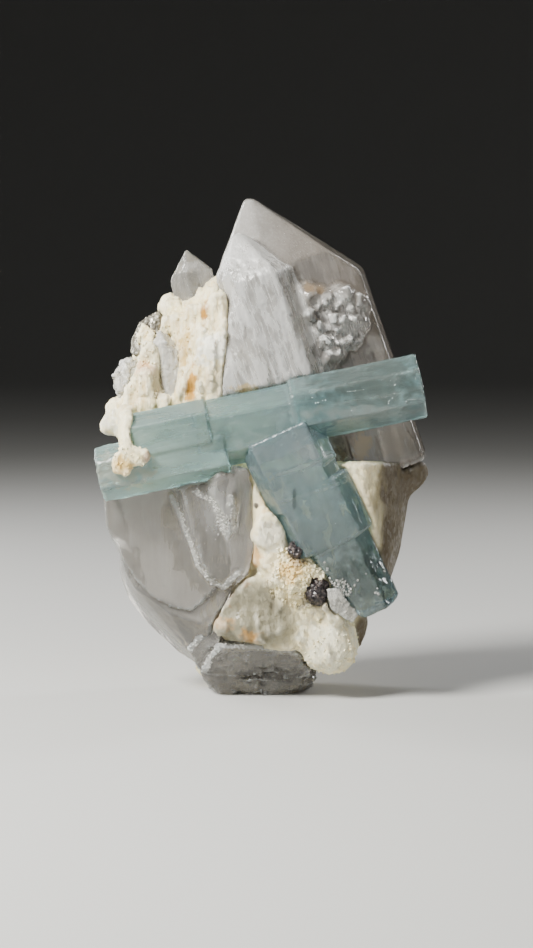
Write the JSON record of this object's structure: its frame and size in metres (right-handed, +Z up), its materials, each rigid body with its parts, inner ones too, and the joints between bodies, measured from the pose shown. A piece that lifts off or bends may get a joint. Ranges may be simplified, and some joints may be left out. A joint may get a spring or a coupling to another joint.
{
  "type": "aquamarine crystal specimen on quartz and feldspar",
  "caption": "Mineral specimen: pale blue-green aquamarine prisms across smoky quartz points on cream feldspar, standing on its broken base.",
  "frame": {"origin": "on the flat broken base, about under the middle of the specimen", "axes": "+Z up along the specimen's height, +X to the right seen from the aquamarine side, -Y toward the aquamarine side"},
  "size_m": [0.0484, 0.0323, 0.0724],
  "materials": {
    "pale_aquamarine": "glassy with fine striations",
    "deep_aquamarine": "glassy with fine striations",
    "smoky_quartz": "glassy, etched on the front crystal",
    "grey_quartz": "glassy, slightly cloudy",
    "white_quartz": "frosted",
    "cream_feldspar": "matte to pearly",
    "silver_mica": "pearly sheets",
    "dark_mineral": "sub-metallic"
  },
  "bodies": {
    "root": {"long_aquamarine": "pale_aquamarine", "slanted_aquamarine": "deep_aquamarine", "tall_quartz": "smoky_quartz", "lower_quartz": "grey_quartz", "quartz_foot": "grey_quartz", "small_quartz_point": "grey_quartz", "small_quartz_prism": "white_quartz", "left_quartz_knob": "white_quartz", "quartz_shard": "white_quartz", "feldspar_matrix": "cream_feldspar", "mica_book": "silver_mica", "dark_grain_large": "dark_mineral", "dark_grain_small": "dark_mineral"}
  },
  "joints": []
}
